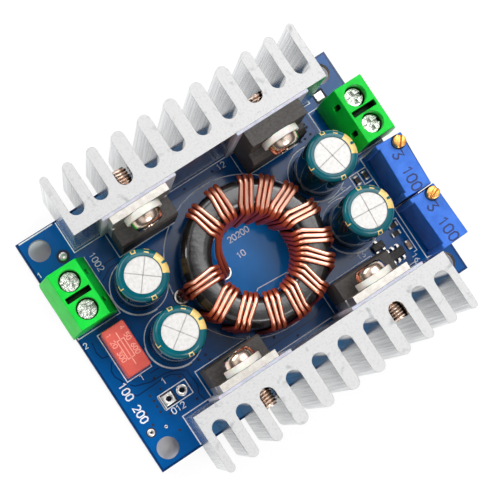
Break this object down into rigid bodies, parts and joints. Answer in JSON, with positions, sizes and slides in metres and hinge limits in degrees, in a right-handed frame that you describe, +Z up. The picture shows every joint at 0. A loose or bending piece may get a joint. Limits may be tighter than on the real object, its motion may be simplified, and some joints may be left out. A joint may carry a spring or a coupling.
{
  "type": "buck-boost converter module",
  "caption": "Direct-current converter board with finned heatsinks, screwed power packages, a ring inductor, upright capacitors, screw terminals, multi-turn trimmers and a box fuse.",
  "frame": {"origin": "centre of the four mounting holes, on the board's underside", "axes": "+X from the input terminal to the output terminal, +Y towards the rear heatsink, +Z up out of the board's component side"},
  "size_m": [0.062, 0.0518, 0.0219],
  "materials": {
    "laminate": "satin solder resist",
    "solder": "bright tin",
    "extrusion": "plain extruded",
    "silicone": "matte",
    "mould": "moulded epoxy",
    "tinned_metal": "tin plate",
    "bush": "moulded nylon",
    "fastener": "nickel plate",
    "can": "drawn can",
    "sleeve": "shrunk film",
    "core": "coated powder core",
    "enamelled_copper": "clear enamel",
    "housing": "moulded",
    "clamp": "zinc plate",
    "trimmer_case": "moulded",
    "brass_screw": "turned",
    "fuse_case": "moulded",
    "chip": "fired"
  },
  "bodies": {
    "board_assembly": {"circuit_board": "laminate", "solder_joints": "solder", "heatsink_rear": "extrusion", "heatsink_front": "extrusion", "thermal_pad_rear_left": "silicone", "thermal_pad_rear_right": "silicone", "thermal_pad_front_left": "silicone", "thermal_pad_front_right": "silicone", "package_rear_left_body": "mould", "package_rear_right_body": "mould", "package_front_left_body": "mould", "package_front_right_body": "mould", "package_rear_left_metal": "tinned_metal", "package_rear_right_metal": "tinned_metal", "package_front_left_metal": "tinned_metal", "package_front_right_metal": "tinned_metal", "insulating_bushes": "bush", "package_screws": "fastener", "capacitor_1_can": "can", "capacitor_2_can": "can", "capacitor_3_can": "can", "capacitor_4_can": "can", "capacitor_1_sleeve": "sleeve", "capacitor_2_sleeve": "sleeve", "capacitor_3_sleeve": "sleeve", "capacitor_4_sleeve": "sleeve", "capacitor_leads": "tinned_metal", "inductor_core": "core", "winding_strand_1": "enamelled_copper", "winding_strand_2": "enamelled_copper", "winding_strand_3": "enamelled_copper", "terminal_input_housing": "housing", "terminal_output_housing": "housing", "terminal_input_pins": "tinned_metal", "terminal_output_pins": "tinned_metal", "trimmer_1_body": "trimmer_case", "trimmer_2_body": "trimmer_case", "trimmer_1_leads": "tinned_metal", "trimmer_2_leads": "tinned_metal", "fuse_body": "fuse_case", "fuse_leads": "tinned_metal", "chip_bodies": "chip", "chip_ends": "tinned_metal", "controller_body": "mould", "controller_leads": "tinned_metal", "small_transistor_body": "mould", "small_transistor_leads": "tinned_metal"},
    "input_screw_1": {"terminal_input_screw_1": "clamp"},
    "input_screw_2": {"terminal_input_screw_2": "clamp"},
    "output_screw_1": {"terminal_output_screw_1": "clamp"},
    "output_screw_2": {"terminal_output_screw_2": "clamp"},
    "input_cage_1": {"terminal_input_cage_1": "clamp"},
    "input_cage_2": {"terminal_input_cage_2": "clamp"},
    "output_cage_1": {"terminal_output_cage_1": "clamp"},
    "output_cage_2": {"terminal_output_cage_2": "clamp"},
    "trimmer_screw_1": {"trimmer_1_screw": "brass_screw"},
    "trimmer_screw_2": {"trimmer_2_screw": "brass_screw"}
  },
  "joints": [
    {"name": "input_clamp_1", "type": "hinge", "parent": "board_assembly", "child": "input_screw_1", "pos_m": [-0.0263, 0.0062, 0.0085], "axis": [0, 0, -1], "range_deg": [0, 1296]},
    {"name": "input_clamp_2", "type": "hinge", "parent": "board_assembly", "child": "input_screw_2", "pos_m": [-0.0263, 0.0112, 0.0085], "axis": [0, 0, -1], "range_deg": [0, 1296]},
    {"name": "output_clamp_1", "type": "hinge", "parent": "board_assembly", "child": "output_screw_1", "pos_m": [0.0275, 0.0066, 0.0085], "axis": [0, 0, -1], "range_deg": [0, 1296]},
    {"name": "output_clamp_2", "type": "hinge", "parent": "board_assembly", "child": "output_screw_2", "pos_m": [0.0275, 0.0116, 0.0085], "axis": [0, 0, -1], "range_deg": [0, 1296]},
    {"name": "input_lift_1", "type": "slide", "parent": "board_assembly", "child": "input_cage_1", "axis": [0, 0, 1], "range_m": [0, 0.0018]},
    {"name": "input_lift_2", "type": "slide", "parent": "board_assembly", "child": "input_cage_2", "axis": [0, 0, 1], "range_m": [0, 0.0018]},
    {"name": "output_lift_1", "type": "slide", "parent": "board_assembly", "child": "output_cage_1", "axis": [0, 0, 1], "range_m": [0, 0.0018]},
    {"name": "output_lift_2", "type": "slide", "parent": "board_assembly", "child": "output_cage_2", "axis": [0, 0, 1], "range_m": [0, 0.0018]},
    {"name": "trimmer_turn_1", "type": "hinge", "parent": "board_assembly", "child": "trimmer_screw_1", "pos_m": [0.02897, 0.00164, 0.012], "axis": [0, 0, 1], "continuous": true},
    {"name": "trimmer_turn_2", "type": "hinge", "parent": "board_assembly", "child": "trimmer_screw_2", "pos_m": [0.0289, -0.00807, 0.012], "axis": [0, 0, 1], "continuous": true}
  ],
  "couplings": [
    {"joint": "input_clamp_1", "follows": "input_lift_1", "rad_per_m": 12566},
    {"joint": "input_clamp_2", "follows": "input_lift_2", "rad_per_m": 12566},
    {"joint": "output_clamp_1", "follows": "output_lift_1", "rad_per_m": 12566},
    {"joint": "output_clamp_2", "follows": "output_lift_2", "rad_per_m": 12566}
  ]
}
